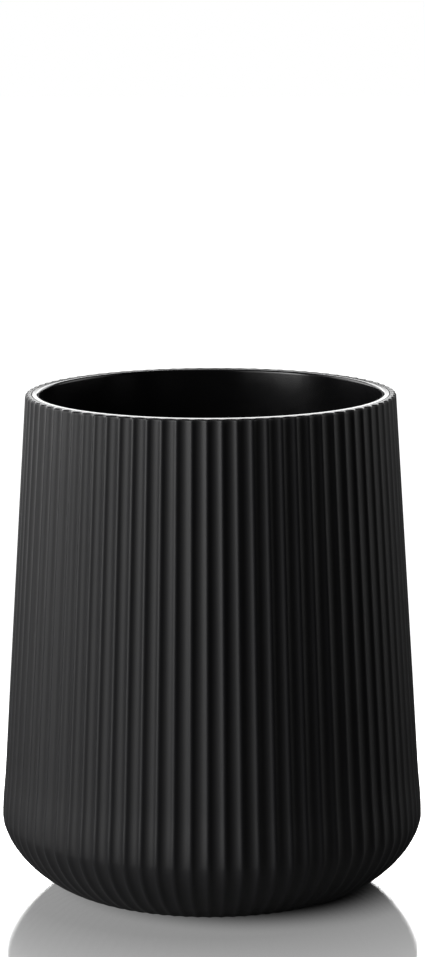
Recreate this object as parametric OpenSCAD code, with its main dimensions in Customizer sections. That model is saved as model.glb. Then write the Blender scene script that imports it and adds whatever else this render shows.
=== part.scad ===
// Fluted bathroom holder: a round cup with fine upright flutes, matte outside and glossy inside.
// A ribbed shell carries a smooth liner that lifts out, and a base disc with four soft feet.
// Millimetres, +Z up. The origin is the centre of the plane that the feet stand on.

/* [Outline] */
// Diameter over the flutes at the widest circle, low on the cup
widest_d = 88; // [78:0.5:104]
// Height of the rim above the surface that the cup stands on
cup_h = 104; // [88:0.5:126]
// How far the rim lies inside the widest circle, measured on the radius
rim_inset = 5.7; // [4:0.1:7]
// How far the lower end of the straight taper lies inside the widest circle
taper_inset = 0.78; // [0.5:0.02:1.1]
// Height of the widest circle
widest_z = 15; // [12:0.1:19]
// Height of the soft flare between the widest circle and the straight taper
flare_h = 11; // [7:0.1:13]
// Diameter of the circle where the rounded foot meets the flat underside
foot_d = 56; // [50:0.5:64]
// Fullness of the rounded foot: 2 is a quarter ellipse and less is leaner
foot_power = 1.6; // [1.4:0.05:2.2]
// Rounding of the rim's outer edge
rim_edge = 0.6; // [0.2:0.05:0.7]

/* [Flutes] */
// Number of flutes round the cup
flute_count = 80; // [48:2:96]
// Depth of a flute as a share of the spacing from crest to crest
flute_depth_share = 0.152; // [0.08:0.002:0.2]
// Radius of a rounded crest as a share of the same spacing
crest_round_share = 0.24; // [0.2:0.01:0.45]

/* [Shell] */
// Wall behind the crests, where the shell has its full wall
shell_wall = 2.3; // [1.9:0.1:2.8]
// Width of the shell's part of the flat rim, from the crests to the liner
rim_land = 1.35; // [1.2:0.05:1.6]
// Thickness of the shell's floor ring
shell_floor = 2.6; // [2.2:0.1:3.2]
// Width of the shell's flat ring under the foot, outside the base disc
foot_ring = 2.9; // [2.2:0.1:3.5]
// Width of the ledge that the base disc is bonded against
ledge = 1.6; // [1.2:0.1:2]

/* [Liner] */
// Wall of the liner
liner_wall = 1.5; // [1:0.05:1.6]
// Thickness of the liner's floor
liner_floor = 1.6; // [1.2:0.1:2.4]
// Height of the straight lip that guides the liner in the shell
lip_h = 6; // [4:0.5:9]
// Running clearance between that lip and the shell, on the radius
lip_gap = 0.1; // [0.05:0.01:0.1]
// Draft of the liner below its lip, in degrees
liner_draft = 1; // [0.6:0.1:1.6]
// Rounding of the liner's inner edge at the mouth
mouth_round = 0.55; // [0.3:0.05:0.8]
// Rounding between the liner's floor and its wall, on the inside
well_round = 7.75; // [6:0.25:10]

/* [Base disc] */
// Thickness of the disc's thin rim, which fills the recess under the shell
disc_rim = 1.4; // [1:0.1:1.8]
// Height of the ring that the liner stands on, above the shell's floor
stand_h = 2; // [1.5:0.1:3]
// Outer diameter of that ring
stand_d = 36; // [28:0.5:40]
// Width of that ring
stand_w = 2.5; // [1.5:0.1:4]
// Clearance round the disc and round each foot, on the radius
seat_gap = 0.1; // [0.05:0.01:0.2]

/* [Feet] */
// Diameter of a soft foot
pad_d = 9; // [7:0.1:11]
// Thickness of a soft foot
pad_t = 1.2; // [1:0.05:1.5]
// How far a soft foot stands out of the underside
pad_proud = 0.4; // [0.2:0.05:0.8]
// Distance from the disc's edge to the nearest point of a foot
pad_inset = 2.6; // [1.5:0.1:4]
// Chamfer round the face that a foot stands on
pad_edge = 0.15; // [0.05:0.05:0.3]

/* [Hidden] */
foot_count = 4;
// How far a cut runs past the face that it opens
overrun = 1;
// Steps along the rounded foot, the flare, the rim's edge and a small arc
foot_steps = 5;
flare_steps = 2;
edge_steps = 2;
arc_steps = 8;
// Number of sides that a round surface is drawn with
$fn = 120;

// Radii and heights of the outline, over the crests
widest_r = widest_d / 2;
rim_r = widest_r - rim_inset;
taper_r = widest_r - taper_inset;
taper_z = widest_z + flare_h;
foot_r = foot_d / 2;
under_z = pad_proud;
taper_slope = (taper_r - rim_r) / (cup_h - taper_z);

// The flute's outline in a spacing of 1: a round crest that runs into a round hollow
arc_sum_share = (0.25 + pow(flute_depth_share, 2)) / (2 * flute_depth_share);
hollow_round_share = arc_sum_share - crest_round_share;
crest_end_share = crest_round_share / arc_sum_share / 2;
hollow_point_share = crest_end_share + (1 / 2 - crest_end_share) * 2 / 3;
point_shares = [-hollow_point_share, -crest_end_share, 0, crest_end_share, hollow_point_share];

// Shell: the straight bore at the mouth ends where the wall behind it is full
bore_r = rim_r - rim_land;
bore_end_z = cup_h - (bore_r + shell_wall - rim_r) / taper_slope;
floor_z = under_z + shell_floor;
recess_r = foot_r - foot_ring;
opening_r = recess_r - ledge;

// Liner
lip_r = bore_r - lip_gap;
lip_z = cup_h - lip_h;
mouth_r = lip_r - liner_wall;
stand_z = floor_z + stand_h;
well_z = stand_z + liner_floor;
well_outer_round = well_round + liner_wall;

// Base disc and feet
disc_r = recess_r - seat_gap;
boss_r = opening_r - seat_gap;
stand_r = stand_d / 2;
pad_r = pad_d / 2;
pad_circle_r = disc_r - pad_inset - pad_r;

// Depth of the flute's surface below its crests, at a distance from the crest, in a spacing of 1
function flute_share(u) =
    u < crest_end_share
    ? crest_round_share - sqrt(pow(crest_round_share, 2) - pow(u, 2))
    : flute_depth_share - hollow_round_share + sqrt(pow(hollow_round_share, 2) - pow(1 / 2 - u, 2));

// Spacing from crest to crest where the crests lie at radius r
function spacing(r) = 2 * PI * r / flute_count;

// One level of the fluted skin: five points to a flute
function skin_ring(r, z) =
    [for (i = [0 : flute_count - 1])
        for (u = point_shares)
            let (turn = (i + u) * 360 / flute_count)
            let (s = r - spacing(r) * flute_share(abs(u)))
            [s * cos(turn), s * sin(turn), z]];

// The rounded foot from its flat end (step 0) up to its widest circle, as [radius, height]
function foot_curve(end_r, end_z, wide_r, steps) =
    [for (i = [0 : steps])
        let (turn = 90 * (1 - i / steps))
        [end_r + (wide_r - end_r) * pow(cos(turn), 2 / foot_power),
         widest_z - (widest_z - end_z) * pow(sin(turn), 2 / foot_power)]];

// The flare, upright at the widest circle and in line with the taper at its top
function flare_curve(steps) =
    [for (i = [1 : steps])
        let (t = 1 - i / steps)
        let (from_taper = 2 * pow(t, 3) - 3 * pow(t, 2) + 1)
        let (along_taper = pow(t, 3) - 2 * pow(t, 2) + t)
        [widest_r + (taper_r - widest_r) * from_taper + along_taper * flare_h * taper_slope,
         taper_z - flare_h * t]];

// The rim's outer edge, from the taper to the flat rim
function edge_curve(steps) =
    [for (i = [0 : steps])
        let (turn = 90 * i / steps)
        [rim_r - rim_edge * (1 - cos(turn)), cup_h - rim_edge * (1 - sin(turn))]];

// A rounding from a level floor into a wall with the liner's draft
function well_arc(wall_r, base_z, round_r) =
    [for (i = [0 : arc_steps])
        let (turn = -90 + (90 - liner_draft) * i / arc_steps)
        [wall_r - round_r / cos(liner_draft) + round_r * cos(turn),
         base_z + round_r + round_r * sin(turn)]];

// Radius of the liner's outer and inner wall at a height
function liner_out_r(z) = lip_r - (lip_z - z) * tan(liner_draft);
function liner_in_r(z) = mouth_r - (cup_h - z) * tan(liner_draft);

// Inner circle of the skin's flat underside or rim, with one point to a flute
function flat_ring(r, z) =
    [for (i = [0 : flute_count - 1])
        let (turn = i * 360 / flute_count)
        [r * cos(turn), r * sin(turn), z]];

// Closed skin over the flutes. The flat rim and underside run in to a circle inside the hollow, and
// from there a shallow cone closes them, which the hollow removes.
module fluted_skin() {
    outline = concat(
        foot_curve(foot_r, under_z, widest_r, foot_steps),
        flare_curve(flare_steps),
        edge_curve(edge_steps));
    levels = len(outline);
    flute_points = len(point_shares);
    round_points = flute_count * flute_points;
    last = (levels - 1) * round_points;
    under_ring = levels * round_points;
    rim_ring = under_ring + flute_count;
    under_tip = rim_ring + flute_count;
    rim_tip = under_tip + 1;
    points = concat(
        [for (p = outline) each skin_ring(p[0], p[1])],
        flat_ring(recess_r - overrun, under_z),
        flat_ring(bore_r - overrun, cup_h),
        [[0, 0, under_z + overrun], [0, 0, cup_h - overrun]]);
    sides = [for (k = [0 : levels - 2])
        for (i = [0 : round_points - 1])
            let (a = k * round_points + i)
            let (b = k * round_points + (i + 1) % round_points)
            [a, a + round_points, b + round_points, b]];
    underside = [for (i = [0 : flute_count - 1])
        let (next = (i + 1) % flute_count)
        each concat(
            [for (k = [0 : flute_points - 1])
                let (a = i * flute_points + k)
                [a, (a + 1) % round_points, under_ring + i]],
            [[next * flute_points, under_ring + next, under_ring + i],
             [under_tip, under_ring + i, under_ring + next]])];
    rim = [for (i = [0 : flute_count - 1])
        let (next = (i + 1) % flute_count)
        each concat(
            [for (k = [0 : flute_points - 1])
                let (a = i * flute_points + k)
                [last + (a + 1) % round_points, last + a, rim_ring + i]],
            [[rim_ring + next, last + next * flute_points, rim_ring + i],
             [rim_tip, rim_ring + next, rim_ring + i]])];
    polyhedron(points = points, faces = concat(sides, underside, rim));
}

// Everything that is open inside the shell, from the disc's recess up to the straight bore at the mouth
module shell_hollow() {
    rotate_extrude()
        polygon(concat(
            [[0, under_z - overrun],
             [recess_r, under_z - overrun],
             [recess_r, under_z + disc_rim],
             [opening_r, under_z + disc_rim],
             [opening_r, floor_z]],
            foot_curve(foot_r - shell_wall, floor_z, widest_r - shell_wall, arc_steps),
            [[taper_r - shell_wall, taper_z],
             [bore_r, bore_end_z],
             [bore_r, cup_h + overrun],
             [0, cup_h + overrun]]));
}

// Outer shell, open at the mouth and, for the base disc, in the middle of its underside
module fluted_shell() {
    color("#1d1d1f")
        difference() {
            fluted_skin();
            shell_hollow();
        }
}

// Drop-in liner: straight lip flush with the rim, slight draft, rounded well
module inner_liner() {
    outer_z = stand_z + well_outer_round;
    inner_z = well_z + well_round;
    mouth = [for (i = [0 : arc_steps])
        let (turn = 180 - 90 * i / arc_steps)
        [mouth_r + mouth_round + mouth_round * cos(turn),
         cup_h - mouth_round + mouth_round * sin(turn)]];
    inside = concat([[0, well_z]], well_arc(liner_in_r(inner_z), well_z, well_round), mouth);
    outside = concat(
        [[0, stand_z]],
        well_arc(liner_out_r(outer_z), stand_z, well_outer_round),
        [[lip_r, lip_z], [lip_r, cup_h]]);
    color("#0b0b0c")
        rotate_extrude()
            polygon(concat(outside, [for (i = [len(inside) - 1 : -1 : 0]) inside[i]]));
}

// Base disc: thin rim in the recess, boss in the opening, ring under the liner, pockets for the feet
module base_disc() {
    color("#18181a")
        difference() {
            rotate_extrude()
                polygon([
                    [0, under_z],
                    [disc_r, under_z],
                    [disc_r, under_z + disc_rim],
                    [boss_r, under_z + disc_rim],
                    [boss_r, floor_z],
                    [stand_r, floor_z],
                    [stand_r, stand_z],
                    [stand_r - stand_w, stand_z],
                    [stand_r - stand_w, floor_z],
                    [0, floor_z]]);
            for (i = [1 : foot_count])
                at_foot(i)
                    translate([0, 0, under_z - overrun])
                        cylinder(r = pad_r + seat_gap, h = pad_t - under_z + overrun);
        }
}

// Places its child at one of the feet
module at_foot(i) {
    rotate([0, 0, (i - 1) * 360 / foot_count])
        translate([pad_circle_r, 0, 0])
            children();
}

// One soft foot
module foot_pad(i) {
    color("#2a2a2c")
        at_foot(i)
            rotate_extrude()
                polygon([
                    [0, 0],
                    [pad_r - pad_edge, 0],
                    [pad_r, pad_edge],
                    [pad_r, pad_t],
                    [0, pad_t]]);
}

fluted_shell();
inner_liner();
base_disc();
foot_pad(1);  // foot_pad_1
foot_pad(2);  // foot_pad_2
foot_pad(3);  // foot_pad_3
foot_pad(4);  // foot_pad_4
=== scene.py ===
# %% [markdown]
# # A fluted bathroom holder, dressed for its picture
# The real object is a round black cup, about 104 mm high, with 80 fine upright flutes moulded into
# its outside. A smooth, glossy liner stands in it and lifts out, and a bonded base disc with four
# soft feet closes it from below. A CAD model already gives each piece its place and size. This
# lesson puts finer meshes and real finishes on that model, and then sets up a camera, a floor and
# some lamps. Loading the CAD model comes first, so that everything after it can be measured
# against it.

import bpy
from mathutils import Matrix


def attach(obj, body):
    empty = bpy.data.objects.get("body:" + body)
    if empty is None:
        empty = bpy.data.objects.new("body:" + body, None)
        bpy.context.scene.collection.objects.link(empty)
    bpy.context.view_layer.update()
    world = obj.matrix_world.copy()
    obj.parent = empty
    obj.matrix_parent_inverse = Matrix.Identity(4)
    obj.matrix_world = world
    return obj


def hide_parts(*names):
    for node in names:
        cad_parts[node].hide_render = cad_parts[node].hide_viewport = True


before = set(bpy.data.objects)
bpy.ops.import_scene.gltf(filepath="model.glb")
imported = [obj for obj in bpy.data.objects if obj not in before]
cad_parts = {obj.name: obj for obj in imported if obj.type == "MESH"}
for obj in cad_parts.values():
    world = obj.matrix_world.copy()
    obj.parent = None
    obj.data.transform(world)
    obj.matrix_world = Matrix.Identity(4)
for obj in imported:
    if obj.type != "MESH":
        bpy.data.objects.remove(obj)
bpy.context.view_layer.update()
print("CAD nodes:", sorted(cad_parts))

# %% [markdown]
# ## Units and small tools
# Blender works in metres and a workshop in millimetres, so one factor turns the second into the
# first. Every node tree below, for shapes and for finishes alike, is built by one small function.
# It adds a node, sets its options, and then fills each input with a value or with another node's
# output. Colours are written as a paint program shows them, and one function turns them into
# linear light.

# %% Units, the one node helper and colours
import math

import bpy
from mathutils import Matrix, Vector

MM = 0.001


def add_node(tree, kind, inputs=None, **options):
    """Adds a node to a tree. Inputs, by name or number, are values or other nodes' outputs."""
    node = tree.nodes.new(kind)
    for option, value in options.items():
        setattr(node, option, value)
    for key, value in (inputs or {}).items():
        if isinstance(value, bpy.types.NodeSocket):
            tree.links.new(value, node.inputs[key])
        else:
            node.inputs[key].default_value = value
    return node


def to_linear(hex_colour):
    """An sRGB colour such as "#1d1d1f" as linear red, green, blue and alpha, as sockets take."""
    parts = [int(hex_colour[i:i + 2], 16) / 255 for i in (1, 3, 5)]
    return [p / 12.92 if p <= 0.04045 else ((p + 0.055) / 1.055) ** 2.4 for p in parts] + [1]


print("#1d1d1f in linear light:", [round(v, 4) for v in to_linear("#1d1d1f")])

# %% [markdown]
# ## The camera
# A product photographer stands well back with a long lens, so that an upright cup keeps straight
# sides. The place below gives the same view: 692 mm from the cup's axis, 202 mm above the table,
# looking down by 9.6 degrees. The lens is given for a sensor 36 mm high, because the picture is
# taller than it is wide. The camera goes round the cup by about one degree, so that a flute's
# crest lies where it should, and it is turned a little about its own line of sight, as the
# photographer's was.

# %% Camera
VIEW_WIDE, VIEW_HIGH = 425, 957
SENSOR_HIGH_MM, LENS_MM = 36, 127.35
NEAREST_SEEN, FARTHEST_SEEN = 0.02, 40
CAMERA_AWAY, CAMERA_UP, CAMERA_ASIDE = 692.0 * MM, 202.45 * MM, 0.32 * MM
CAMERA_ROUND, CAMERA_DOWN = math.radians(1.08), math.radians(9.557)
CAMERA_ROLL = math.radians(-0.188)

# The height of the cup, in millimetres like all its sizes below
CUP_H = 104.0

lens = bpy.data.cameras.new("picture_camera")
lens.sensor_fit = "VERTICAL"
lens.sensor_height = SENSOR_HIGH_MM
lens.lens = LENS_MM
lens.clip_start, lens.clip_end = NEAREST_SEEN, FARTHEST_SEEN
camera = bpy.data.objects.new("picture_camera", lens)
bpy.context.scene.collection.objects.link(camera)
camera.matrix_world = (
    Matrix.Rotation(CAMERA_ROUND, 4, "Z")
    @ Matrix.Translation((CAMERA_ASIDE, -CAMERA_AWAY, CAMERA_UP))
    @ Matrix.Rotation(math.pi / 2 - CAMERA_DOWN, 4, "X")
    @ Matrix.Rotation(CAMERA_ROLL, 4, "Z"))
bpy.context.scene.camera = camera
bpy.context.view_layer.update()


def picture_place(point):
    """Where a point lands in the picture, in pixels from its left and from its top."""
    seen = camera.matrix_world.inverted() @ Vector(point)
    reach = LENS_MM / SENSOR_HIGH_MM * VIEW_HIGH / -seen.z
    return round(VIEW_WIDE / 2 + seen.x * reach, 1), round(VIEW_HIGH / 2 - seen.y * reach, 1)


print("foot of the axis:", picture_place((0, 0, 0)))
print("top of the axis:", picture_place((0, 0, CUP_H * MM)))

# %% [markdown]
# ## Finishes: how they are made
# All the hard pieces are moulded ABS, dyed black through and through. What differs is the mould. A
# spark-eroded mould gives the outside a fine satin grain, and a hand-polished one gives the liner
# its gloss. Image textures could show this, but they would need files and a mapping, so each
# finish is worked out from the place on the piece instead: noise in object coordinates, at real
# sizes. Two helpers serve all of them. One starts a material with a shader and object coordinates,
# and the other turns a real size in millimetres into the scale that a noise node wants.

# %% Start a material
def start_material(name):
    """A new material, its tree, its shader and the place on the piece to draw patterns from."""
    material = bpy.data.materials.new(name)
    material.use_nodes = True
    tree = material.node_tree
    tree.nodes.clear()
    shader = tree.nodes.new("ShaderNodeBsdfPrincipled")
    add_node(tree, "ShaderNodeOutputMaterial", {"Surface": shader.outputs[0]})
    place = tree.nodes.new("ShaderNodeTexCoord").outputs["Object"]
    return material, tree, shader, place


def per_metre(size_mm):
    """The noise scale at which one feature is about this many millimetres wide."""
    return 1 / (size_mm * MM)


print("noise scale for features of 1 mm:", per_metre(1))

# %% [markdown]
# ## Matte moulded ABS, the outside of the cup
# Sparks eat small craters into the steel, and the plastic copies them as a satin grain that
# spreads a lamp's light over a wide, soft sheen. The crests of the flutes are what hands and
# towels touch, so they are a touch smoother than the hollows, where a little dried haze stays. The
# flutes' own mesh carries a number called hollow, from 0 on a crest to 1 in the deepest line, and
# the finish reads it. The real grain is near 0.08 mm, too fine for this picture, so it is drawn
# 0.3 mm wide and only 6 microns deep.

# %% Satin outside
GRAIN_MM, GRAIN_DEPTH_MM, HANDLING_MM = 0.3, 0.006, 24
HAZE_SHARE, CREST_ROUGHNESS, HOLLOW_ROUGHNESS, HANDLED_ROUGHNESS = 0.15, 0.42, 0.52, 0.06

satin, tree, shader, place = start_material("satin_black_abs_spark_eroded")
hollow = add_node(tree, "ShaderNodeAttribute", attribute_name="hollow").outputs["Fac"]
handling = add_node(tree, "ShaderNodeTexNoise", {
    "Vector": place, "Scale": per_metre(HANDLING_MM), "Detail": 3,
    "Roughness": 0.55}).outputs["Fac"]
dye = add_node(tree, "ShaderNodeMix", {
    "Factor": handling, "A": to_linear("#19191b"), "B": to_linear("#1f1f21")}, data_type="RGBA")
haze = add_node(tree, "ShaderNodeMath", {0: hollow, 1: handling}, operation="MULTIPLY")
haze_share = add_node(tree, "ShaderNodeMath", {0: haze.outputs[0], 1: HAZE_SHARE},
                      operation="MULTIPLY")
colour = add_node(tree, "ShaderNodeMix", {
    "Factor": haze_share.outputs[0], "A": dye.outputs["Result"], "B": to_linear("#3a3936")},
    data_type="RGBA")
sheen = add_node(tree, "ShaderNodeMapRange", {
    "Value": hollow, "To Min": CREST_ROUGHNESS, "To Max": HOLLOW_ROUGHNESS})
uneven = add_node(tree, "ShaderNodeMath", {
    0: handling, 1: HANDLED_ROUGHNESS, 2: sheen.outputs[0]}, operation="MULTIPLY_ADD")
grain = add_node(tree, "ShaderNodeTexNoise", {
    "Vector": place, "Scale": per_metre(GRAIN_MM), "Detail": 2, "Roughness": 0.6})
relief = add_node(tree, "ShaderNodeBump", {
    "Height": grain.outputs["Fac"], "Distance": GRAIN_DEPTH_MM * MM, "Strength": 1.0})
tree.links.new(colour.outputs["Result"], shader.inputs["Base Color"])
tree.links.new(uneven.outputs[0], shader.inputs["Roughness"])
tree.links.new(relief.outputs[0], shader.inputs["Normal"])
shader.inputs["IOR"].default_value = 1.5
print("finish:", satin.name)

# %% [markdown]
# ## The rim: faced and buffed
# The flat top of the rim is the bright line in the picture. On the outer piece it is faced, cut
# flat with a fine tool, which leaves a silky surface that still mirrors at a low angle. The
# liner's lip is buffed as well, and the wax of the buffing lies on it as a thin clear coat. White
# paint could fake the line, but it would stay white from above. Both are dark plastic instead, and
# seen nearly edge-on they throw back a softbox that stands behind the cup: Fresnel does that by
# itself. Hairlines from wiping run every way, too shallow to blur the mirror. One loop makes both
# finishes.

# %% Faced rim and buffed lip
WIPE_MM, HAIRLINE_DEPTH_MM = 3, 0.002

rims = {}
for name, roughness, coat in (("faced_black_abs_rim", 0.07, 0), ("buffed_black_abs_lip", 0.05, 1)):
    rims[name], tree, shader, place = start_material(name)
    wipe = add_node(tree, "ShaderNodeTexNoise", {
        "Vector": place, "Scale": per_metre(WIPE_MM), "Detail": 4, "Roughness": 0.7})
    tint = add_node(tree, "ShaderNodeMix", {
        "Factor": wipe.outputs["Fac"], "A": to_linear("#1c1c1e"), "B": to_linear("#222224")},
        data_type="RGBA")
    hairlines = add_node(tree, "ShaderNodeBump", {
        "Height": wipe.outputs["Fac"], "Distance": HAIRLINE_DEPTH_MM * MM, "Strength": 0.5})
    tree.links.new(tint.outputs["Result"], shader.inputs["Base Color"])
    tree.links.new(hairlines.outputs[0], shader.inputs["Normal"])
    for socket, value in (("Roughness", roughness), ("IOR", 1.53), ("Coat Weight", coat),
                          ("Coat Roughness", 0.04)):
        shader.inputs[socket].default_value = value
    print("finish:", name)
faced, buffed = rims["faced_black_abs_rim"], rims["buffed_black_abs_lip"]

# %% [markdown]
# ## Polished ABS, the liner
# The liner's mould is polished by hand, so the plastic comes out glossy and nearly black, with
# soft reflections. Its gloss is never quite even: fingers leave smudges, and water that dries in
# the well leaves a faint film that is thickest at the bottom. Smudges only change the roughness,
# and the film also lifts the colour a little. Only the flat of the lip is buffed, as the last cell
# says.

# %% Glossy liner
SMUDGE_MM, WELL_Z, FILM_TOP_Z, FILM_ROUGHNESS = 14, 6.6, 38, 0.2

gloss, tree, shader, place = start_material("gloss_black_abs_polished")
smudge = add_node(tree, "ShaderNodeTexNoise", {
    "Vector": place, "Scale": per_metre(SMUDGE_MM), "Detail": 5, "Roughness": 0.6,
    "Distortion": 0.8})
height = add_node(tree, "ShaderNodeSeparateXYZ", {0: place}).outputs["Z"]
film = add_node(tree, "ShaderNodeMapRange", {
    "Value": height, "From Min": WELL_Z * MM, "From Max": FILM_TOP_Z * MM,
    "To Min": 1, "To Max": 0})
patchy = add_node(tree, "ShaderNodeMath", {0: film.outputs[0], 1: smudge.outputs["Fac"]},
                  operation="MULTIPLY")
tint = add_node(tree, "ShaderNodeMix", {
    "Factor": patchy.outputs[0], "A": to_linear("#0b0b0c"), "B": to_linear("#1c1c1c")},
    data_type="RGBA")
dull = add_node(tree, "ShaderNodeMapRange", {
    "Value": smudge.outputs["Fac"], "From Min": 0.35, "From Max": 0.75,
    "To Min": 0.17, "To Max": 0.26})
film_dull = add_node(tree, "ShaderNodeMath", {
    0: patchy.outputs[0], 1: FILM_ROUGHNESS, 2: dull.outputs[0]}, operation="MULTIPLY_ADD")
tree.links.new(tint.outputs["Result"], shader.inputs["Base Color"])
tree.links.new(film_dull.outputs[0], shader.inputs["Roughness"])
shader.inputs["IOR"].default_value = 1.53
print("finish:", gloss.name)

# %% [markdown]
# ## Matte ABS underneath and soft rubber feet
# The base disc is moulded in a coarser, duller grain, because nobody looks at it. The feet are a
# soft thermoplastic rubber: hardly any gloss, a slightly greyer black, and a skin that holds fine
# dust. Both grains are drawn a little wide, and the dust is a sparse speckle that lightens the
# rubber.

# %% Base and feet
TONE_MM, PIT_MM, PIT_DEPTH_MM, DUST_MM, DUST_DEPTH_MM = 9, 0.35, 0.012, 0.5, 0.01

dull_abs, tree, shader, place = start_material("matte_black_abs_base")
tone = add_node(tree, "ShaderNodeTexNoise", {
    "Vector": place, "Scale": per_metre(TONE_MM), "Detail": 4})
tint = add_node(tree, "ShaderNodeMix", {
    "Factor": tone.outputs["Fac"], "A": to_linear("#202022"), "B": to_linear("#2a2a2c")},
    data_type="RGBA")
pits = add_node(tree, "ShaderNodeTexNoise", {
    "Vector": place, "Scale": per_metre(PIT_MM), "Detail": 2})
relief = add_node(tree, "ShaderNodeBump", {
    "Height": pits.outputs["Fac"], "Distance": PIT_DEPTH_MM * MM})
rough = add_node(tree, "ShaderNodeMapRange", {
    "Value": tone.outputs["Fac"], "To Min": 0.52, "To Max": 0.64})
tree.links.new(tint.outputs["Result"], shader.inputs["Base Color"])
tree.links.new(rough.outputs[0], shader.inputs["Roughness"])
tree.links.new(relief.outputs[0], shader.inputs["Normal"])
print("finish:", dull_abs.name)

rubber, tree, shader, place = start_material("soft_black_tpe_rubber")
dust = add_node(tree, "ShaderNodeTexNoise", {
    "Vector": place, "Scale": per_metre(DUST_MM), "Detail": 3})
speckle = add_node(tree, "ShaderNodeMapRange", {
    "Value": dust.outputs["Fac"], "From Min": 0.58, "From Max": 0.75, "To Min": 0, "To Max": 0.35})
tint = add_node(tree, "ShaderNodeMix", {
    "Factor": speckle.outputs[0], "A": to_linear("#2a2a2c"), "B": to_linear("#4a4945")},
    data_type="RGBA")
skin = add_node(tree, "ShaderNodeBump", {
    "Height": dust.outputs["Fac"], "Distance": DUST_DEPTH_MM * MM})
tree.links.new(tint.outputs["Result"], shader.inputs["Base Color"])
tree.links.new(skin.outputs[0], shader.inputs["Normal"])
shader.inputs["Roughness"].default_value = 0.78
print("finish:", rubber.name)

# %% [markdown]
# ## The outline of the cup
# Cut the cup down the middle and one side shows a closed outline: the flat ring it stands on, a
# rounded foot, the widest circle low down, a soft flare into a long straight taper, the thin rim,
# and then the hidden inside on the way back down. The foot is a superellipse, the curve that a
# rounded foot follows when it is leaner than a quarter ellipse. The sizes are the CAD model's, in
# millimetres, because the finer mesh has to stay inside it. Each point also says how strongly the
# flutes cut there, and whether it belongs to the faced rim, which takes in the upper part of the
# rounding at the rim's outer edge.

# %% Outline of the cup
WIDEST_R, RIM_R, TAPER_R, FOOT_R = 44.0, 38.3, 43.22, 28.0
WIDEST_Z, TAPER_Z, UNDER_Z = 15.0, 26.0, 0.4
FOOT_POWER, RIM_EDGE, RIM_INNER_EDGE, SHELL_WALL = 1.6, 0.6, 0.04, 2.3
BORE_R, OPENING_R, RECESS_R, RECESS_Z, FLOOR_Z = 36.95, 23.5, 25.1, 1.8, 3.0
TAPER_SLOPE = (TAPER_R - RIM_R) / (CUP_H - TAPER_Z)

# Steps in the rounding of the rim's outer edge, and how many of its last points are faced
EDGE_STEPS, EDGE_FACED = 6, 4

# A ring of points this far from a rounding keeps the flat beside it flat in its shading
FLAT_FROM = 0.06


def foot_curve(end_r, end_z, wide_r, steps):
    """The rounded foot from its flat end up to its widest circle."""
    turns = [math.pi / 2 * (1 - i / steps) for i in range(steps + 1)]
    return [(end_r + (wide_r - end_r) * max(0, math.cos(a)) ** (2 / FOOT_POWER),
             WIDEST_Z - (WIDEST_Z - end_z) * math.sin(a) ** (2 / FOOT_POWER)) for a in turns]


def flare_curve(steps):
    """Upright at the widest circle, and in line with the taper at its top."""
    flare_h = TAPER_Z - WIDEST_Z
    points = []
    for i in range(1, steps + 1):
        t = 1 - i / steps
        drawn_in = 2 * t ** 3 - 3 * t ** 2 + 1
        leaned = t ** 3 - 2 * t ** 2 + t
        points.append((WIDEST_R + (TAPER_R - WIDEST_R) * drawn_in + leaned * flare_h * TAPER_SLOPE,
                       TAPER_Z - flare_h * t))
    return points


def rounding(centre_r, centre_z, radius, start, end, steps):
    """An arc of the outline, between two angles in degrees."""
    turns = [math.radians(start + (end - start) * i / steps) for i in range(steps + 1)]
    return [(centre_r + radius * math.cos(a), centre_z + radius * math.sin(a)) for a in turns]


def line(start, end, steps):
    """Points along a straight stretch, without its first one."""
    return [tuple(a + (b - a) * i / steps for a, b in zip(start, end))
            for i in range(1, steps + 1)]


flare = flare_curve(steps=8)
edge = rounding(RIM_R - RIM_EDGE, CUP_H - RIM_EDGE, RIM_EDGE, 0, 90, EDGE_STEPS)
fluted = foot_curve(FOOT_R, UNDER_Z, WIDEST_R, steps=20) + flare
fluted += line(flare[-1], edge[0], steps=5) + edge[1:]
rim_flat = [(RIM_R - RIM_EDGE - FLAT_FROM, CUP_H)]
rim_inside = [(BORE_R + RIM_INNER_EDGE + FLAT_FROM, CUP_H)] + rounding(
    BORE_R + RIM_INNER_EDGE, CUP_H - RIM_INNER_EDGE, RIM_INNER_EDGE, 90, 180, steps=3)
bore_end_z = CUP_H - (BORE_R + SHELL_WALL - RIM_R) / TAPER_SLOPE
inside = [(BORE_R, bore_end_z), (TAPER_R - SHELL_WALL, TAPER_Z)]
inside += foot_curve(FOOT_R - SHELL_WALL, FLOOR_Z, WIDEST_R - SHELL_WALL, steps=10)[::-1]
inside += [(OPENING_R, FLOOR_Z), (OPENING_R, RECESS_Z), (RECESS_R, RECESS_Z), (RECESS_R, UNDER_Z)]

# Radius, height, how strongly the flutes cut, and 1 where the point belongs to the faced rim
outline = [(r, z, 1, 0) for r, z in fluted[:-EDGE_FACED]]
outline += [(r, z, 1, 1) for r, z in fluted[-EDGE_FACED:] + rim_flat]
outline += [(r, z, 0, 1) for r, z in rim_inside[:2]]
outline += [(r, z, 0, 0) for r, z in rim_inside[2:] + inside]
outline.append(outline[0])
print("outline:", len(outline), "points, from radius", min(point[0] for point in outline),
      "to", WIDEST_R, "mm")

# %% [markdown]
# ## The outline as a mesh that Geometry Nodes can read
# Geometry Nodes take their shape from an object, so the outline becomes a chain of vertices with
# its radius along X and its height along Z. The two extra numbers travel with the vertices as
# attributes.

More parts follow.
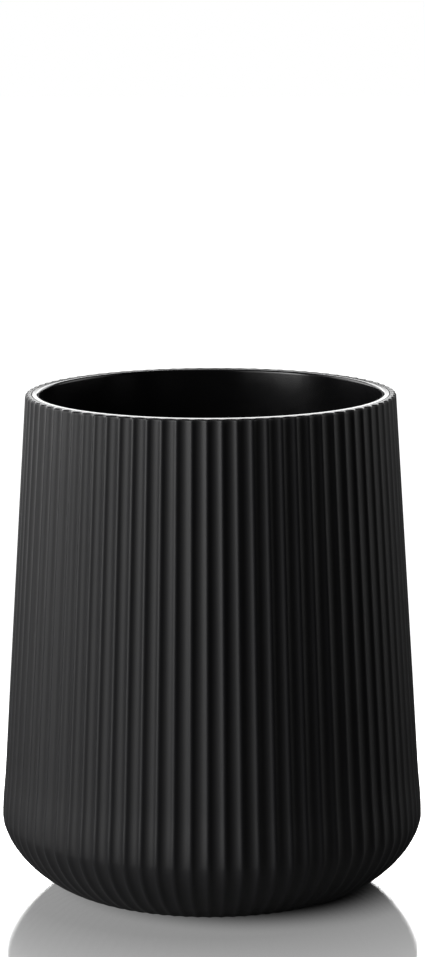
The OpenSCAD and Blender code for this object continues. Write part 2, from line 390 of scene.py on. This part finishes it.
# %% Outline mesh
chain = bpy.data.meshes.new("cup_outline")
chain.from_pydata([(r * MM, 0, z * MM) for r, z, _, _ in outline],
                  [(i, i + 1) for i in range(len(outline) - 1)], [])
for label, column in (("fluted", 2), ("faced", 3)):
    values = chain.attributes.new(label, "FLOAT", "POINT")
    values.data.foreach_set("value", [float(point[column]) for point in outline])
shell = bpy.data.objects.new("fluted_cup_shell", chain)
bpy.context.scene.collection.objects.link(shell)
print("outline mesh:", len(chain.vertices), "vertices, numbers:",
      [values.name for values in chain.attributes])

# %% [markdown]
# ## Flutes by rule
# Eighty flutes could be an array of one segment, but then 80 seams would have to be welded. The
# mould was cut by rule, and the mesh is made by the same rule, in one Geometry Nodes tree with
# named inputs. It starts from a grid with one row for each outline point and 16 columns for each
# flute. A grid numbers its vertices column by column, so a division gives a vertex its column, and
# the remainder its row.

# %% Flutes: inputs and grid
flutes = bpy.data.node_groups.new("flutes_round_a_cup", "GeometryNodeTree")
for label, kind in (
        ("Outline", "Geometry"), ("Flutes", "Int"), ("Columns in a flute", "Int"),
        ("Depth in spacings", "Float"), ("Crest radius in spacings", "Float"),
        ("Seam tolerance", "Float"), ("Body finish", "Material"), ("Rim finish", "Material")):
    flutes.interface.new_socket(label, in_out="INPUT", socket_type="NodeSocket" + kind)
flutes.interface.new_socket("Cup", in_out="OUTPUT", socket_type="NodeSocketGeometry")
given = flutes.nodes.new("NodeGroupInput").outputs

# One column more than go round the cup, because the last one lies on the first
columns = add_node(flutes, "ShaderNodeMath", {0: given["Flutes"], 1: given["Columns in a flute"]},
                   operation="MULTIPLY").outputs[0]
grid_columns = add_node(flutes, "ShaderNodeMath", {0: columns, 1: 1}, operation="ADD").outputs[0]
rows = add_node(flutes, "GeometryNodeAttributeDomainSize", {0: given["Outline"]},
                component="MESH").outputs["Point Count"]
grid = add_node(flutes, "GeometryNodeMeshGrid", {"Vertices X": grid_columns, "Vertices Y": rows})

index = flutes.nodes.new("GeometryNodeInputIndex").outputs[0]
column = add_node(flutes, "FunctionNodeIntegerMath", {0: index, 1: rows},
                  operation="DIVIDE_FLOOR").outputs[0]
row = add_node(flutes, "FunctionNodeIntegerMath", {0: index, 1: rows},
               operation="MODULO").outputs[0]
print("flutes tree so far:", len(flutes.nodes), "nodes")

# %% [markdown]
# ## How deep a flute is in each column
# Each column knows how far it lies from the nearest crest, from 0 to half a spacing. A round crest
# runs into a round hollow there. Two arcs that touch have radii that add up to a fixed sum for a
# given depth, so the hollow's radius follows from the crest's. All of it is counted in spacings,
# so that one profile serves the narrow mouth and the wide foot alike.

# %% Flutes: depth
along = add_node(flutes, "ShaderNodeMath", {0: column, 1: given["Columns in a flute"]},
                 operation="DIVIDE").outputs[0]
nearest = add_node(flutes, "ShaderNodeMath", {0: along}, operation="ROUND").outputs[0]
off = add_node(flutes, "ShaderNodeMath", {0: along, 1: nearest}, operation="SUBTRACT").outputs[0]
from_crest = add_node(flutes, "ShaderNodeMath", {0: off}, operation="ABSOLUTE").outputs[0]

# Sum of the two arcs' radii: (1/4 + depth squared) / (2 depth), and where one arc ends
depth, crest_r = given["Depth in spacings"], given["Crest radius in spacings"]
depth_squared = add_node(flutes, "ShaderNodeMath", {0: depth, 1: 2.0},
                         operation="POWER").outputs[0]
over = add_node(flutes, "ShaderNodeMath", {0: depth_squared, 1: 0.25}, operation="ADD").outputs[0]
under = add_node(flutes, "ShaderNodeMath", {0: depth, 1: 2.0}, operation="MULTIPLY").outputs[0]
arc_sum = add_node(flutes, "ShaderNodeMath", {0: over, 1: under}, operation="DIVIDE").outputs[0]
hollow_r = add_node(flutes, "ShaderNodeMath", {0: arc_sum, 1: crest_r},
                    operation="SUBTRACT").outputs[0]
crest_part = add_node(flutes, "ShaderNodeMath", {0: crest_r, 1: arc_sum},
                      operation="DIVIDE").outputs[0]
crest_end = add_node(flutes, "ShaderNodeMath", {0: crest_part, 1: 0.5},
                     operation="MULTIPLY").outputs[0]

# Depth on the crest's arc, and on the hollow's arc
drops = []
to_middle = add_node(flutes, "ShaderNodeMath", {0: 0.5, 1: from_crest},
                     operation="SUBTRACT").outputs[0]
for radius, across in ((crest_r, from_crest), (hollow_r, to_middle)):
    long_side = add_node(flutes, "ShaderNodeMath", {0: radius, 1: 2.0},
                         operation="POWER").outputs[0]
    short_side = add_node(flutes, "ShaderNodeMath", {0: across, 1: 2.0},
                          operation="POWER").outputs[0]
    rest = add_node(flutes, "ShaderNodeMath", {0: long_side, 1: short_side},
                    operation="SUBTRACT").outputs[0]
    root = add_node(flutes, "ShaderNodeMath", {0: rest}, operation="SQRT").outputs[0]
    drops.append(add_node(flutes, "ShaderNodeMath", {0: radius, 1: root},
                          operation="SUBTRACT").outputs[0])
hollow_drop = add_node(flutes, "ShaderNodeMath", {0: depth, 1: drops[1]},
                       operation="SUBTRACT").outputs[0]
on_crest = add_node(flutes, "FunctionNodeCompare", {"A": from_crest, "B": crest_end},
                    operation="LESS_THAN").outputs[0]
drop = add_node(flutes, "GeometryNodeSwitch", {
    "Switch": on_crest, "False": hollow_drop, "True": drops[0]}, input_type="FLOAT").outputs[0]
print("flutes tree so far:", len(flutes.nodes), "nodes")

# %% [markdown]
# ## Round the axis
# Each vertex looks up its row in the outline: its radius, its height, and how strongly the flutes
# cut there. The depth, times the spacing at that radius, is taken off the radius, and the point is
# turned about the axis to its column's place.

# %% Flutes: round the axis
at_row = {}
for label in ("fluted", "faced"):
    value = add_node(flutes, "GeometryNodeInputNamedAttribute", {"Name": label}, data_type="FLOAT")
    at_row[label] = add_node(flutes, "GeometryNodeSampleIndex", {
        "Geometry": given["Outline"], "Value": value.outputs[0], "Index": row},
        data_type="FLOAT").outputs[0]
position = flutes.nodes.new("GeometryNodeInputPosition").outputs[0]
sampled = add_node(flutes, "GeometryNodeSampleIndex", {
    "Geometry": given["Outline"], "Value": position, "Index": row},
    data_type="FLOAT_VECTOR").outputs[0]
point = add_node(flutes, "ShaderNodeSeparateXYZ", {0: sampled}).outputs

turn = add_node(flutes, "ShaderNodeMath", {0: column, 1: math.tau},
                operation="MULTIPLY").outputs[0]
angle = add_node(flutes, "ShaderNodeMath", {0: turn, 1: columns}, operation="DIVIDE").outputs[0]
circle = add_node(flutes, "ShaderNodeMath", {0: point["X"], 1: math.tau},
                  operation="MULTIPLY").outputs[0]
spacing = add_node(flutes, "ShaderNodeMath", {0: circle, 1: given["Flutes"]},
                   operation="DIVIDE").outputs[0]
cut = add_node(flutes, "ShaderNodeMath", {0: spacing, 1: drop}, operation="MULTIPLY").outputs[0]
cut_here = add_node(flutes, "ShaderNodeMath", {0: cut, 1: at_row["fluted"]},
                    operation="MULTIPLY").outputs[0]
radius = add_node(flutes, "ShaderNodeMath", {0: point["X"], 1: cut_here},
                  operation="SUBTRACT").outputs[0]
flat = add_node(flutes, "ShaderNodeCombineXYZ", {"X": radius, "Z": point["Z"]}).outputs[0]
wrapped = add_node(flutes, "ShaderNodeVectorRotate", {"Vector": flat, "Angle": angle},
                   rotation_type="Z_AXIS").outputs[0]
placed = add_node(flutes, "GeometryNodeSetPosition", {
    "Geometry": grid.outputs["Mesh"], "Position": wrapped})
print("flutes tree so far:", len(flutes.nodes), "nodes")

# %% [markdown]
# ## Weld and finish
# The seam is welded by distance. The body's finish reads how deep in a flute it lies, so that
# number is stored on the points, and so is the mark of the rim, whose faces take a finish of their
# own. The tree ends in Realize Instances and Set Material, because an export drops what is only an
# instance.

# %% Flutes: weld and finish
# The mark is 1 on the rim and blends to 0 beside it, and only a face that is all 1 is the rim's
WHOLLY_FACED = 0.99

drop_share = add_node(flutes, "ShaderNodeMath", {0: drop, 1: depth}, operation="DIVIDE").outputs[0]
in_hollow = add_node(flutes, "ShaderNodeMath", {0: drop_share, 1: at_row["fluted"]},
                     operation="MULTIPLY").outputs[0]
noted = placed.outputs[0]
for label, value in (("hollow", in_hollow), ("faced", at_row["faced"])):
    noted = add_node(flutes, "GeometryNodeStoreNamedAttribute", {
        "Geometry": noted, "Name": label, "Value": value},
        data_type="FLOAT", domain="POINT").outputs[0]
welded = add_node(flutes, "GeometryNodeMergeByDistance", {
    "Geometry": noted, "Distance": given["Seam tolerance"]}).outputs[0]
smooth = add_node(flutes, "GeometryNodeSetShadeSmooth", {"Geometry": welded}).outputs[0]
real = add_node(flutes, "GeometryNodeRealizeInstances", {"Geometry": smooth}).outputs[0]
bodied = add_node(flutes, "GeometryNodeSetMaterial", {
    "Geometry": real, "Material": given["Body finish"]}).outputs[0]
is_faced = add_node(flutes, "GeometryNodeInputNamedAttribute", {"Name": "faced"},
                    data_type="FLOAT")
rim_faces = add_node(flutes, "FunctionNodeCompare", {
    "A": is_faced.outputs[0], "B": WHOLLY_FACED}, operation="GREATER_THAN").outputs[0]
rimmed = add_node(flutes, "GeometryNodeSetMaterial", {
    "Geometry": bodied, "Selection": rim_faces, "Material": given["Rim finish"]}).outputs[0]
add_node(flutes, "NodeGroupOutput", {0: rimmed})
print("flutes tree:", len(flutes.nodes), "nodes")

# %% [markdown]
# ## From rule to plain mesh
# A modifier's inputs are set by the socket's identifier, before the object is looked at for the
# first time. The evaluated result is then copied to a plain mesh, and the modifier goes, so that
# the piece is finished before it is given to the moving bodies. The same few lines serve every
# piece made by nodes.

# %% Bake the flutes
# Two faces that meet at more than this angle keep a sharp edge in their shading
SHARP_FROM = math.radians(38)


def bake_nodes(piece, tree, values):
    """Runs a Geometry Nodes tree on a piece and leaves the result as its own plain mesh."""
    modifier = piece.modifiers.new(tree.name, "NODES")
    modifier.node_group = tree
    for item in tree.interface.items_tree:
        if item.in_out == "INPUT" and item.name in values:
            modifier[item.identifier] = values[item.name]
    graph = bpy.context.evaluated_depsgraph_get()
    baked = bpy.data.meshes.new_from_object(piece.evaluated_get(graph), depsgraph=graph)
    piece.modifiers.clear()
    piece.data = baked
    baked.name = piece.name
    while baked.materials[0] is None:
        baked.materials.pop(index=0)
    baked.set_sharp_from_angle(angle=SHARP_FROM)
    print(piece.name, len(baked.vertices), "vertices,", len(baked.polygons), "faces, materials",
          [m.name for m in baked.materials])


FLUTE_COUNT, FLUTE_COLUMNS, FLUTE_DEPTH, CREST_RADIUS, SEAM_MM = 80, 16, 0.152, 0.24, 0.002

bake_nodes(shell, flutes, {
    "Flutes": FLUTE_COUNT, "Columns in a flute": FLUTE_COLUMNS,
    "Depth in spacings": FLUTE_DEPTH, "Crest radius in spacings": CREST_RADIUS,
    "Seam tolerance": SEAM_MM * MM, "Body finish": satin, "Rim finish": faced})
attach(shell, "shell")
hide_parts("fluted_shell")

# %% [markdown]
# ## Turned pieces
# The liner and the feet are round, so each is one outline turned about an axis, as on a lathe.
# Blender has a Screw modifier for that, but a few lines of mesh code weld the poles exactly and
# keep every face pointing outwards. An outline runs anticlockwise, seen with the radius to the
# right and the height up.

# %% Lathe
ON_AXIS = 1e-6


def lathe(name, outline, sides):
    """A closed solid from an outline of (radius, height) in mm, from the axis back to the axis."""
    points, rings, faces = [], [], []
    for r, z in outline:
        if r < ON_AXIS:
            rings.append([len(points)] * sides)
            points.append((0, 0, z * MM))
        else:
            rings.append([len(points) + i for i in range(sides)])
            points += [(r * MM * math.cos(math.tau * i / sides),
                        r * MM * math.sin(math.tau * i / sides), z * MM) for i in range(sides)]
    for low, high in zip(rings, rings[1:]):
        for i in range(sides):
            ring = [low[i], low[(i + 1) % sides], high[(i + 1) % sides], high[i]]
            faces.append(list(dict.fromkeys(ring)))
    mesh = bpy.data.meshes.new(name)
    mesh.from_pydata(points, [], faces)
    mesh.validate()
    mesh.shade_smooth()
    return mesh


print("lathe:", lathe.__doc__)

# %% [markdown]
# ## The liner
# The liner is a plain deep cup with a thin wall that gets 1 degree narrower on the way down, so
# that it leaves its mould. A short straight lip guides it in the shell, its mouth is rounded where
# fingers and handles pass, and its well is rounded so that no water stays in a corner. Its lip
# lies flush with the shell's rim, with 0.1 mm of air between them, which is the only seam that the
# finished object shows. The faces of the lip that look nearly straight up take the buffed finish,
# and all others the gloss.

# %% Liner
LIP_R, LIP_Z, MOUTH_R, MOUTH_ROUND, LIP_EDGE = 36.85, 98.0, 35.35, 0.55, 0.04
STAND_Z, WELL_ROUND, LINER_WALL, DRAFT = 5.0, 7.75, 1.5, 1.0
OUTER_ROUND = WELL_ROUND + LINER_WALL

# The flat underside has rings of points out to this radius
RINGS_R = 20.0

# A face whose normal has at least this much height in it looks nearly straight up
LOOKS_UP = 0.8


def drafted(top_r, top_z, z):
    """The radius of a drafted wall at a height, from its radius at the top."""
    return top_r - (top_z - z) * math.tan(math.radians(DRAFT))


def well_arc(wall_r, base_z, radius, steps):
    """From a level floor round into the drafted wall."""
    centre_r = wall_r - radius / math.cos(math.radians(DRAFT))
    return rounding(centre_r, base_z + radius, radius, -90, -DRAFT, steps)


outside = [(0, STAND_Z)] + line((0, STAND_Z), (RINGS_R, STAND_Z), steps=4)
outside += well_arc(drafted(LIP_R, LIP_Z, STAND_Z + OUTER_ROUND), STAND_Z, OUTER_ROUND, steps=12)
outside += line(outside[-1], (LIP_R, LIP_Z), steps=4)
outside += rounding(LIP_R - LIP_EDGE, CUP_H - LIP_EDGE, LIP_EDGE, 0, 90, steps=3)
outside += [(LIP_R - LIP_EDGE - FLAT_FROM, CUP_H), (MOUTH_R + MOUTH_ROUND + FLAT_FROM, CUP_H)]
mouth = rounding(MOUTH_R + MOUTH_ROUND, CUP_H - MOUTH_ROUND, MOUTH_ROUND, 90, 180, steps=8)
well_r = drafted(MOUTH_R, CUP_H, WELL_Z + WELL_ROUND)
well = well_arc(well_r, WELL_Z, WELL_ROUND, steps=14)[::-1]
down = line(mouth[-1], well[0], steps=8)[:-1]
floor_line = line(well[-1], (0, WELL_Z), steps=5)
liner = bpy.data.objects.new("glossy_inner_liner", lathe(
    "glossy_inner_liner", outside + mouth + down + well + floor_line, sides=256))
bpy.context.scene.collection.objects.link(liner)
liner.data.set_sharp_from_angle(angle=SHARP_FROM)
liner.data.materials.append(gloss)
liner.data.materials.append(buffed)
for face in liner.data.polygons:
    at_lip = face.center.z > (CUP_H - MOUTH_ROUND) * MM
    face.material_index = int(at_lip and face.normal.z > LOOKS_UP)
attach(liner, "liner")
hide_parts("inner_liner")
print("liner:", len(liner.data.polygons), "faces,",
      sum(face.material_index for face in liner.data.polygons), "of them buffed")

# %% [markdown]
# ## Four soft feet
# One foot is turned on the lathe as a plain disc with a rounded edge. Copying it by hand four
# times would work, but feet on a circle are a rule again: Geometry Nodes put one at each point of
# a circle.

# %% Feet by Geometry Nodes
PAD_COUNT, PAD_R, PAD_T, PAD_EDGE, PAD_CIRCLE_R = 4, 4.5, 1.2, 0.15, 17.9

# A ring of points three edge radii in keeps the underside flat in its shading
foot_outline = [(0, 0), (PAD_R - 3 * PAD_EDGE, 0)]
foot_outline += rounding(PAD_R - PAD_EDGE, PAD_EDGE, PAD_EDGE, -90, 0, steps=4)
foot_outline += rounding(PAD_R - PAD_EDGE, PAD_T - PAD_EDGE, PAD_EDGE, 0, 90, steps=4)
foot_outline.append((0, PAD_T))
feet = bpy.data.objects.new("soft_feet", lathe("soft_foot", foot_outline, sides=64))
bpy.context.scene.collection.objects.link(feet)

ring_of = bpy.data.node_groups.new("pieces_on_a_circle", "GeometryNodeTree")
for label, kind in (("Piece", "Geometry"), ("Count", "Int"), ("Circle radius", "Float"),
                    ("Finish", "Material")):
    ring_of.interface.new_socket(label, in_out="INPUT", socket_type="NodeSocket" + kind)
ring_of.interface.new_socket("Pieces", in_out="OUTPUT", socket_type="NodeSocketGeometry")
given = ring_of.nodes.new("NodeGroupInput").outputs
ring = add_node(ring_of, "GeometryNodeMeshCircle", {
    "Vertices": given["Count"], "Radius": given["Circle radius"]})
copies = add_node(ring_of, "GeometryNodeInstanceOnPoints", {
    "Points": ring.outputs[0], "Instance": given["Piece"]})
real = add_node(ring_of, "GeometryNodeRealizeInstances", {"Geometry": copies.outputs[0]})
finished = add_node(ring_of, "GeometryNodeSetMaterial", {
    "Geometry": real.outputs[0], "Material": given["Finish"]})
add_node(ring_of, "NodeGroupOutput", {0: finished.outputs[0]})
bake_nodes(feet, ring_of, {
    "Count": PAD_COUNT, "Circle radius": PAD_CIRCLE_R * MM, "Finish": rubber})
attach(feet, "shell")
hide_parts("foot_pad_1", "foot_pad_2", "foot_pad_3", "foot_pad_4")

# %% [markdown]
# ## The base disc
# The CAD disc already has its pockets, its boss and its ring at their real sizes, and no curve on
# it that shows, so it stays as it is and only takes its finish.

# %% Base disc's finish
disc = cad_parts["base_disc"]
disc.data.materials.clear()
disc.data.materials.append(dull_abs)

# %% [markdown]
# ## The floor
# The cup stands on white gloss acrylic, a usual table for product pictures: white, with a mirror
# image that is strongest close to the object. The sheet is one large square.

# %% Floor
FLOOR_HALF = 3.0

floor_mesh = bpy.data.meshes.new("studio_floor")
corners = [(x * FLOOR_HALF, y * FLOOR_HALF, 0) for x, y in ((-1, -1), (1, -1), (1, 1), (-1, 1))]
floor_mesh.from_pydata(corners, [], [(0, 1, 2, 3)])
floor = bpy.data.objects.new("studio_floor", floor_mesh)
bpy.context.scene.collection.objects.link(floor)
print("floor:", 2 * FLOOR_HALF, "m square")

# %% [markdown]
# ## What the camera sees of the floor
# One shader with a gloss could do this, but its mirror would not fade with distance, so the floor
# adds three layers. The first is white emission, painted light: it is missing in a painted contact
# shadow round the foot, comes up to a low level just outside it, and grows outwards from there.
# The second is a matte layer that the lamps light, which keeps the cup's real cast shadow. The
# third is a mirror whose share falls off with the distance from the cup, and a fine random tilt of
# its normal softens the image. The painted contact shadow's centre lies a little to the right and
# back, because the main lamps stand on the left.

# %% Painted glow and contact shadow, matte layer and mirror
MIRROR_NEAR, MIRROR_FAR, MIRROR_MOST, RIPPLE_SLOPE = 60 * MM, 230 * MM, 0.92, 0.025
SHADOW_CENTRE, SHADOW_NEAR, SHADOW_FAR = (8 * MM, 3 * MM, 0), 25 * MM, 42 * MM
# The painted white emission's level far out, and its level just outside the painted contact shadow
GLOW_MOST, PAINTED_SHADOW_EDGE_LEVEL = 0.9, 0.26

acrylic = bpy.data.materials.new("white_gloss_acrylic_table")
acrylic.use_nodes = True
tree = acrylic.node_tree
tree.nodes.clear()
place = tree.nodes.new("ShaderNodeTexCoord").outputs["Object"]
away = add_node(tree, "ShaderNodeVectorMath", {0: place}, operation="LENGTH").outputs["Value"]
share = add_node(tree, "ShaderNodeMapRange", {
    "Value": away, "From Min": MIRROR_NEAR, "From Max": MIRROR_FAR,
    "To Min": MIRROR_MOST, "To Max": 0}, interpolation_type="SMOOTHSTEP").outputs[0]
glow = add_node(tree, "ShaderNodeMapRange", {
    "Value": away, "From Min": SHADOW_FAR, "From Max": MIRROR_FAR,
    "To Min": 0, "To Max": GLOW_MOST}).outputs[0]
# Painted contact shadow: the white emission is missing near a point beside the foot and comes up
# to its level outside it
aside = add_node(tree, "ShaderNodeVectorMath", {0: place, 1: SHADOW_CENTRE}, operation="DISTANCE")
body = add_node(tree, "ShaderNodeMapRange", {
    "Value": aside.outputs["Value"], "From Min": SHADOW_NEAR, "From Max": SHADOW_FAR,
    "To Min": 0, "To Max": PAINTED_SHADOW_EDGE_LEVEL}, interpolation_type="SMOOTHSTEP").outputs[0]
painted_floor_light = add_node(tree, "ShaderNodeMath", {0: glow, 1: body}, operation="ADD").outputs[0]
white = add_node(tree, "ShaderNodeEmission", {"Color": to_linear("#ffffff"), "Strength": painted_floor_light})
paper = add_node(tree, "ShaderNodeBsdfDiffuse", {"Color": to_linear("#3a3a3a")})
pale = add_node(tree, "ShaderNodeAddShader", {0: white.outputs[0], 1: paper.outputs[0]})
dice = add_node(tree, "ShaderNodeTexWhiteNoise", {"Vector": place},
                noise_dimensions="3D").outputs["Color"]
tilt = add_node(tree, "ShaderNodeVectorMath", {0: dice, 1: (0.5, 0.5, 0.5)}, operation="SUBTRACT")
gentle = add_node(tree, "ShaderNodeVectorMath", {0: tilt.outputs[0], 3: 2 * RIPPLE_SLOPE},
                  operation="SCALE")
ripple = add_node(tree, "ShaderNodeVectorMath", {0: gentle.outputs[0], 1: (0, 0, 1)},
                  operation="ADD")
level = add_node(tree, "ShaderNodeVectorMath", {0: ripple.outputs[0]},
                 operation="NORMALIZE").outputs[0]
mirror = add_node(tree, "ShaderNodeBsdfGlossy", {"Color": share, "Roughness": 0, "Normal": level})
seen = add_node(tree, "ShaderNodeAddShader", {0: pale.outputs[0], 1: mirror.outputs[0]})
print("floor's glow starts", round(SHADOW_FAR / MM), "mm from the axis, its mirror ends at",
      round(MIRROR_FAR / MM), "mm")

# %% [markdown]
# ## What the lamps and the cup see of it
# To every other ray the floor is a dark card, as when a photographer lays black cards round a
# black object to keep stray light away from it. Only close to the foot does it give some light
# back. Light Path tells the rays apart: camera rays and perfectly sharp reflections get the white
# table.

# %% Dark card for all other rays
CARD_NEAR, CARD_FAR = 50 * MM, 130 * MM

card_share = add_node(tree, "ShaderNodeMapRange", {
    "Value": away, "From Min": CARD_NEAR, "From Max": CARD_FAR, "To Min": 0, "To Max": 1},
    interpolation_type="SMOOTHSTEP")
card_colour = add_node(tree, "ShaderNodeMix", {
    "Factor": card_share.outputs[0], "A": to_linear("#8c8c8c"), "B": to_linear("#262626")},
    data_type="RGBA")
card = add_node(tree, "ShaderNodeBsdfDiffuse", {"Color": card_colour.outputs["Result"]})
rays = tree.nodes.new("ShaderNodeLightPath").outputs
sharp = add_node(tree, "ShaderNodeMath", {0: rays["Is Camera Ray"], 1: rays["Is Singular Ray"]},
                 operation="MAXIMUM").outputs[0]
table = add_node(tree, "ShaderNodeMixShader", {0: sharp, 1: card.outputs[0], 2: seen.outputs[0]})
add_node(tree, "ShaderNodeOutputMaterial", {"Surface": table.outputs[0]})
floor_mesh.materials.append(acrylic)
print("finish:", acrylic.name)

# %% [markdown]
# ## The room
# The background is white to the camera, to the mirror in the floor and through anything clear,
# where a strength of 1 is white. For every other ray the room is dim. A matte black object needs
# that: its wide sheen would otherwise gather white from all sides and turn the dark flanks grey.

# %% Room
ROOM_WHITE, ROOM_DIM = 1, 0.01

room = bpy.data.worlds.new("studio_room")
bpy.context.scene.world = room
room.use_nodes = True
tree = room.node_tree
tree.nodes.clear()
rays = tree.nodes.new("ShaderNodeLightPath").outputs
sharp = add_node(tree, "ShaderNodeMath", {0: rays["Is Camera Ray"], 1: rays["Is Singular Ray"]},
                 operation="MAXIMUM").outputs[0]
clear = add_node(tree, "ShaderNodeMath", {0: sharp, 1: rays["Is Transmission Ray"]},
                 operation="MAXIMUM").outputs[0]
dim = add_node(tree, "ShaderNodeBackground", {
    "Color": to_linear("#ffffff"), "Strength": ROOM_DIM})
bright = add_node(tree, "ShaderNodeBackground", {
    "Color": to_linear("#ffffff"), "Strength": ROOM_WHITE})
both = add_node(tree, "ShaderNodeMixShader", {0: clear, 1: dim.outputs[0], 2: bright.outputs[0]})
add_node(tree, "ShaderNodeOutputWorld", {"Surface": both.outputs[0]})
bpy.context.scene.view_settings.view_transform = "Standard"
print("room:", ROOM_WHITE, "to the camera,", ROOM_DIM, "to blurred rays")

# %% [markdown]
# ## The lamps
# Nine tall strips stand round the cup in three groups. Those of a group touch, so each group is
# one wide softbox that is brighter on one side. The left one is the main light and picks out the
# left side of every flute, so the cup fades from a satin grey on the left to nearly black on the
# right. One behind on the left lights the left edge, and a weak one on the right and behind draws
# the thin line along the right edge. A broad softbox straight behind is there for the rim: its
# lower edge decides how far back the rim's white line goes. A weak one overhead shows the liner's
# well from above. Lamps are given by where they stand and by how bright their face looks, because
# that is what a reflection shows. The power in watts follows from that brightness and from the
# size of the face.

# %% Lamps
AIM_Z = 55 * MM

# The strips' places are in degrees, and their sizes and distance in metres
STRIP_APART, STRIP_UP = 15, 18
STRIP_AWAY, STRIP_HIGH = 0.9, 0.9
STRIP_WIDE = STRIP_AWAY * math.radians(STRIP_APART)

# How far round each strip stands, and how bright its face looks
STRIPS = {
    "left": ((-30, 1.1), (-45, 3.5), (-60, 6.5)),
    "left_back": ((-105, 1.4), (-120, 3.0), (-135, 2.6)),
    "right_back": ((90, 0.5), (105, 1.2), (120, 1.2))}


def softbox(name, round_deg, up_deg, away, wide, high, bright):
    """A rectangular lamp facing the cup, round_deg degrees to the right of the camera's side."""
    lamp = bpy.data.lights.new(name, "AREA")
    lamp.shape, lamp.size, lamp.size_y = "RECTANGLE", wide, high
    lamp.energy = bright * math.pi * wide * high
    holder = bpy.data.objects.new(name, lamp)
    bpy.context.scene.collection.objects.link(holder)
    turn, up = math.radians(round_deg), math.radians(up_deg)
    way = Vector((math.sin(turn) * math.cos(up), -math.cos(turn) * math.cos(up), math.sin(up)))
    holder.location = Vector((0, 0, AIM_Z)) + way * away
    holder.rotation_euler = way.to_track_quat("Z", "Y").to_euler()
    holder.visible_camera = False
    print(name, "at", [round(v, 2) for v in holder.location], "m,", round(lamp.energy, 1), "W")


for side, strips in STRIPS.items():
    for number, (round_deg, bright) in enumerate(strips, 1):
        softbox("strip_%s_%d" % (side, number), round_deg, STRIP_UP, STRIP_AWAY,
                STRIP_WIDE, STRIP_HIGH, bright)
softbox("rim_softbox_behind", round_deg=180, up_deg=18.98, away=1.55,
        wide=1.8, high=0.5, bright=1.9)
softbox("top_softbox", round_deg=0, up_deg=88, away=1.1, wide=0.5, high=0.5, bright=0.6)

# %% [markdown]
# ## The CAD model's box
# The finished model has to lie inside the CAD model's box.
